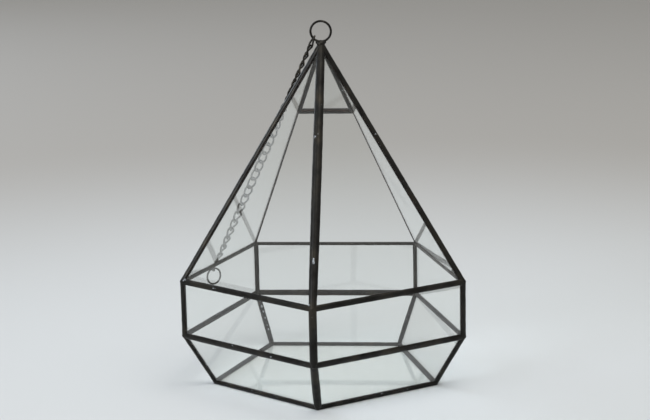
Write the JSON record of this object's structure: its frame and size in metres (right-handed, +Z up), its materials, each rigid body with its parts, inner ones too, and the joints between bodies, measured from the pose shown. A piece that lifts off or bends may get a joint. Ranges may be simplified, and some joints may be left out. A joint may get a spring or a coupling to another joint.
{
  "type": "hanging glass terrarium",
  "caption": "Pentagonal teardrop glass house with soldered seams, an open rear roof face, a top ring and a loose hanging chain.",
  "frame": {"origin": "middle of the base, on the plane it stands on", "axes": "+Z up through the apex and the top ring; -Y towards the front corner; the open roof face is at +Y"},
  "size_m": [0.1752, 0.1668, 0.2232],
  "materials": {
    "clear_glass": "clear float glass, very faint grey-green, polished",
    "copper_foil": "thin copper foil, hidden under the solder",
    "dark_solder": "hand-run solder with a dark patina, satin, grey highlights and small bright spots",
    "ring_wire": "round wire ring with a dark patina, satin",
    "chain_wire": "dark patinated steel wire, worn brighter where links rub"
  },
  "bodies": {
    "house": {"apex_cap": "dark_solder", "base_copper_foils": "copper_foil", "base_pane": "clear_glass", "base_rim_seams": "dark_solder", "lower_copper_foils": "copper_foil", "lower_corner_seams": "dark_solder", "lower_girdle_seams": "dark_solder", "lower_pane_front_left": "clear_glass", "lower_pane_front_right": "clear_glass", "lower_pane_left": "clear_glass", "lower_pane_rear": "clear_glass", "lower_pane_right": "clear_glass", "opening_jamb_seams": "dark_solder", "opening_lintel_seam": "dark_solder", "roof_copper_foils": "copper_foil", "roof_corner_seams": "dark_solder", "roof_pane_front_left": "clear_glass", "roof_pane_front_right": "clear_glass", "roof_pane_left": "clear_glass", "roof_pane_rear_gable": "clear_glass", "roof_pane_right": "clear_glass", "top_ring": "ring_wire", "upper_girdle_seams": "dark_solder", "wall_copper_foils": "copper_foil", "wall_corner_seams": "dark_solder", "wall_pane_front_left": "clear_glass", "wall_pane_front_right": "clear_glass", "wall_pane_left": "clear_glass", "wall_pane_rear": "clear_glass", "wall_pane_right": "clear_glass"},
    "chain_link_01": {"chain_link_01": "chain_wire"},
    "chain_link_02": {"chain_link_02": "chain_wire"},
    "chain_link_03": {"chain_link_03": "chain_wire"},
    "chain_link_04": {"chain_link_04": "chain_wire"},
    "chain_link_05": {"chain_link_05": "chain_wire"},
    "chain_link_06": {"chain_link_06": "chain_wire"},
    "chain_link_07": {"chain_link_07": "chain_wire"},
    "chain_link_08": {"chain_link_08": "chain_wire"},
    "chain_link_09": {"chain_link_09": "chain_wire"},
    "chain_link_10": {"chain_link_10": "chain_wire"},
    "chain_link_11": {"chain_link_11": "chain_wire"},
    "chain_link_12": {"chain_link_12": "chain_wire"},
    "chain_link_13": {"chain_link_13": "chain_wire"},
    "chain_link_14": {"chain_link_14": "chain_wire"},
    "chain_link_15": {"chain_link_15": "chain_wire"},
    "chain_link_16": {"chain_link_16": "chain_wire"},
    "chain_link_17": {"chain_link_17": "chain_wire"},
    "chain_link_18": {"chain_link_18": "chain_wire"},
    "chain_link_19": {"chain_link_19": "chain_wire"},
    "chain_link_20": {"chain_link_20": "chain_wire"},
    "chain_link_21": {"chain_link_21": "chain_wire"},
    "chain_link_22": {"chain_link_22": "chain_wire"},
    "chain_link_23": {"chain_link_23": "chain_wire"},
    "chain_link_24": {"chain_link_24": "chain_wire"},
    "chain_link_25": {"chain_link_25": "chain_wire"},
    "chain_link_26": {"chain_link_26": "chain_wire"},
    "chain_link_27": {"chain_link_27": "chain_wire"},
    "end_ring": {"end_ring": "ring_wire"}
  },
  "joints": [
    {"name": "chain_link_01_lift", "type": "hinge", "parent": "house", "child": "chain_link_01", "pos_m": [-0.00371, -0.00028, 0.21334], "axis": [0.324, 0.9455, 0.0311], "range_deg": [0, 60]},
    {"name": "chain_link_02_swing", "type": "hinge", "parent": "chain_link_01", "child": "chain_link_02", "pos_m": [-0.00669, 0.00095, 0.20701], "axis": [-0.848, 0.2757, 0.4526], "range_deg": [-5, 5]},
    {"name": "chain_link_03_lift", "type": "hinge", "parent": "chain_link_02", "child": "chain_link_03", "pos_m": [-0.00935, 0.00205, 0.20136], "axis": [0.324, 0.9455, 0.0311], "range_deg": [0, 20]},
    {"name": "chain_link_04_swing", "type": "hinge", "parent": "chain_link_03", "child": "chain_link_04", "pos_m": [-0.01202, 0.00315, 0.1957], "axis": [0.848, -0.2757, -0.4526], "range_deg": [-5, 5]},
    {"name": "chain_link_05_lift", "type": "hinge", "parent": "chain_link_04", "child": "chain_link_05", "pos_m": [-0.01468, 0.00425, 0.19004], "axis": [0.324, 0.9455, 0.0311], "range_deg": [0, 20]},
    {"name": "chain_link_06_swing", "type": "hinge", "parent": "chain_link_05", "child": "chain_link_06", "pos_m": [-0.01734, 0.00535, 0.18438], "axis": [-0.848, 0.2757, 0.4526], "range_deg": [-5, 5]},
    {"name": "chain_link_07_lift", "type": "hinge", "parent": "chain_link_06", "child": "chain_link_07", "pos_m": [-0.02001, 0.00644, 0.17872], "axis": [0.324, 0.9455, 0.0311], "range_deg": [0, 20]},
    {"name": "chain_link_08_swing", "type": "hinge", "parent": "chain_link_07", "child": "chain_link_08", "pos_m": [-0.02267, 0.00754, 0.17306], "axis": [0.848, -0.2757, -0.4526], "range_deg": [-5, 5]},
    {"name": "chain_link_09_lift", "type": "hinge", "parent": "chain_link_08", "child": "chain_link_09", "pos_m": [-0.02533, 0.00864, 0.1674], "axis": [0.324, 0.9455, 0.0311], "range_deg": [0, 20]},
    {"name": "chain_link_10_swing", "type": "hinge", "parent": "chain_link_09", "child": "chain_link_10", "pos_m": [-0.028, 0.00974, 0.16174], "axis": [-0.848, 0.2757, 0.4526], "range_deg": [-5, 5]},
    {"name": "chain_link_11_lift", "type": "hinge", "parent": "chain_link_10", "child": "chain_link_11", "pos_m": [-0.03066, 0.01084, 0.15608], "axis": [0.324, 0.9455, 0.0311], "range_deg": [0, 20]},
    {"name": "chain_link_12_swing", "type": "hinge", "parent": "chain_link_11", "child": "chain_link_12", "pos_m": [-0.03332, 0.01194, 0.15043], "axis": [0.848, -0.2757, -0.4526], "range_deg": [-5, 5]},
    {"name": "chain_link_13_lift", "type": "hinge", "parent": "chain_link_12", "child": "chain_link_13", "pos_m": [-0.03599, 0.01303, 0.14477], "axis": [0.324, 0.9455, 0.0311], "range_deg": [0, 20]},
    {"name": "chain_link_14_swing", "type": "hinge", "parent": "chain_link_13", "child": "chain_link_14", "pos_m": [-0.03865, 0.01413, 0.13911], "axis": [-0.848, 0.2757, 0.4526], "range_deg": [-5, 5]},
    {"name": "chain_link_15_lift", "type": "hinge", "parent": "chain_link_14", "child": "chain_link_15", "pos_m": [-0.04131, 0.01523, 0.13345], "axis": [0.324, 0.9455, 0.0311], "range_deg": [0, 20]},
    {"name": "chain_link_16_swing", "type": "hinge", "parent": "chain_link_15", "child": "chain_link_16", "pos_m": [-0.04398, 0.01633, 0.12779], "axis": [0.848, -0.2757, -0.4526], "range_deg": [-5, 5]},
    {"name": "chain_link_17_lift", "type": "hinge", "parent": "chain_link_16", "child": "chain_link_17", "pos_m": [-0.04664, 0.01743, 0.12213], "axis": [0.324, 0.9455, 0.0311], "range_deg": [0, 20]},
    {"name": "chain_link_18_swing", "type": "hinge", "parent": "chain_link_17", "child": "chain_link_18", "pos_m": [-0.0493, 0.01853, 0.11647], "axis": [-0.848, 0.2757, 0.4526], "range_deg": [-8, 8]},
    {"name": "chain_link_19_lift", "type": "hinge", "parent": "chain_link_18", "child": "chain_link_19", "pos_m": [-0.05197, 0.01963, 0.11081], "axis": [0.324, 0.9455, 0.0311], "range_deg": [0, 20]},
    {"name": "chain_link_20_swing", "type": "hinge", "parent": "chain_link_19", "child": "chain_link_20", "pos_m": [-0.05463, 0.02072, 0.10515], "axis": [0.848, -0.2757, -0.4526], "range_deg": [-8, 8]},
    {"name": "chain_link_21_lift", "type": "hinge", "parent": "chain_link_20", "child": "chain_link_21", "pos_m": [-0.05729, 0.02182, 0.0995], "axis": [0.324, 0.9455, 0.0311], "range_deg": [0, 20]},
    {"name": "chain_link_22_swing", "type": "hinge", "parent": "chain_link_21", "child": "chain_link_22", "pos_m": [-0.05996, 0.02292, 0.09384], "axis": [-0.848, 0.2757, 0.4526], "range_deg": [-8, 8]},
    {"name": "chain_link_23_lift", "type": "hinge", "parent": "chain_link_22", "child": "chain_link_23", "pos_m": [-0.06262, 0.02402, 0.08818], "axis": [0.324, 0.9455, 0.0311], "range_deg": [0, 20]},
    {"name": "chain_link_24_swing", "type": "hinge", "parent": "chain_link_23", "child": "chain_link_24", "pos_m": [-0.06528, 0.02512, 0.08252], "axis": [0.848, -0.2757, -0.4526], "range_deg": [-12, 12]},
    {"name": "chain_link_25_lift", "type": "hinge", "parent": "chain_link_24", "child": "chain_link_25", "pos_m": [-0.06795, 0.02622, 0.07686], "axis": [0.324, 0.9455, 0.0311], "range_deg": [0, 20]},
    {"name": "chain_link_26_swing", "type": "hinge", "parent": "chain_link_25", "child": "chain_link_26", "pos_m": [-0.07061, 0.02732, 0.0712], "axis": [-0.848, 0.2757, 0.4526], "range_deg": [-12, 12]},
    {"name": "chain_link_27_lift", "type": "hinge", "parent": "chain_link_26", "child": "chain_link_27", "pos_m": [-0.07327, 0.02841, 0.06554], "axis": [0.324, 0.9455, 0.0311], "range_deg": [0, 20]},
    {"name": "end_ring_lift", "type": "hinge", "parent": "chain_link_27", "child": "end_ring", "pos_m": [-0.07625, 0.02964, 0.05922], "axis": [-0.695, 0.719, 0], "range_deg": [0, 60]}
  ]
}
